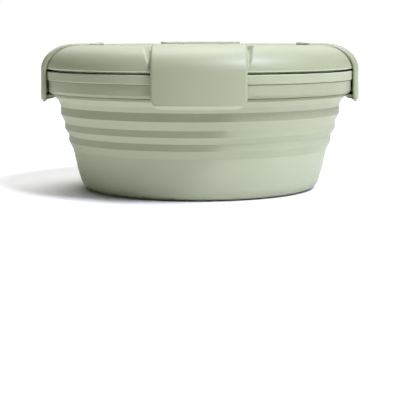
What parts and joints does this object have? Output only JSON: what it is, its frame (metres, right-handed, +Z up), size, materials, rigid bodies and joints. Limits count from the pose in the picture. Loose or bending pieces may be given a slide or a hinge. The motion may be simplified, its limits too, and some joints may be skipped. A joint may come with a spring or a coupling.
{
  "type": "collapsible lunch bowl",
  "caption": "Round collapsible food bowl with stepped folding silicone walls, a rigid rim ring and a domed lid held by wide hinged side latches.",
  "frame": {"origin": "centre of the foot on the surface that the bowl stands on", "axes": "+Z up along the axis of the bowl; -Y is the front latch and +X the right latch"},
  "size_m": [0.1826, 0.1826, 0.084],
  "materials": {
    "silicone": "matte moulded silicone, sage green",
    "rigid_plastic": "satin moulded polypropylene, sage green",
    "pin_steel": "plain drawn wire"
  },
  "bodies": {
    "base": {"bowl_base": "silicone"},
    "step_lower": {"bowl_step_lower": "silicone"},
    "step_middle": {"bowl_step_middle": "silicone"},
    "step_upper": {"bowl_step_upper": "silicone"},
    "rim": {"bowl_rim": "silicone", "rim_ring": "rigid_plastic"},
    "lid": {"lid": "rigid_plastic", "lid_seal": "silicone", "hinge_pin_front": "pin_steel", "hinge_pin_right": "pin_steel", "hinge_pin_back": "pin_steel", "hinge_pin_left": "pin_steel"},
    "latch_front": {"latch_front": "rigid_plastic"},
    "latch_right": {"latch_right": "rigid_plastic"},
    "latch_back": {"latch_back": "rigid_plastic"},
    "latch_left": {"latch_left": "rigid_plastic"}
  },
  "joints": [
    {"name": "collapse", "type": "slide", "parent": "base", "child": "step_lower", "axis": [0, 0, -1], "range_m": [0, 0.012]},
    {"name": "fold_middle", "type": "slide", "parent": "step_lower", "child": "step_middle", "axis": [0, 0, -1], "range_m": [0, 0.012]},
    {"name": "fold_upper", "type": "slide", "parent": "step_middle", "child": "step_upper", "axis": [0, 0, -1], "range_m": [0, 0.012]},
    {"name": "fold_rim", "type": "slide", "parent": "step_upper", "child": "rim", "axis": [0, 0, -1], "range_m": [0, 0.012]},
    {"name": "lid_lift", "type": "slide", "parent": "rim", "child": "lid", "axis": [0, 0, 1], "range_m": [0, 0.03]},
    {"name": "latch_open_front", "type": "hinge", "parent": "lid", "child": "latch_front", "pos_m": [0, -0.0589, 0.0821], "axis": [-1, 0, 0], "range_deg": [0, 130]},
    {"name": "latch_open_right", "type": "hinge", "parent": "lid", "child": "latch_right", "pos_m": [0.0589, 0, 0.0821], "axis": [0, -1, 0], "range_deg": [0, 130]},
    {"name": "latch_open_back", "type": "hinge", "parent": "lid", "child": "latch_back", "pos_m": [0, 0.0589, 0.0821], "axis": [1, 0, 0], "range_deg": [0, 130]},
    {"name": "latch_open_left", "type": "hinge", "parent": "lid", "child": "latch_left", "pos_m": [-0.0589, 0, 0.0821], "axis": [0, 1, 0], "range_deg": [0, 130]}
  ],
  "couplings": [
    {"joint": "fold_middle", "follows": "collapse", "ratio": 1},
    {"joint": "fold_upper", "follows": "collapse", "ratio": 1},
    {"joint": "fold_rim", "follows": "collapse", "ratio": 1},
    {"joint": "latch_open_front", "follows": "lid_lift", "rad_per_m": 75.6},
    {"joint": "latch_open_right", "follows": "lid_lift", "rad_per_m": 75.6},
    {"joint": "latch_open_back", "follows": "lid_lift", "rad_per_m": 75.6},
    {"joint": "latch_open_left", "follows": "lid_lift", "rad_per_m": 75.6}
  ]
}
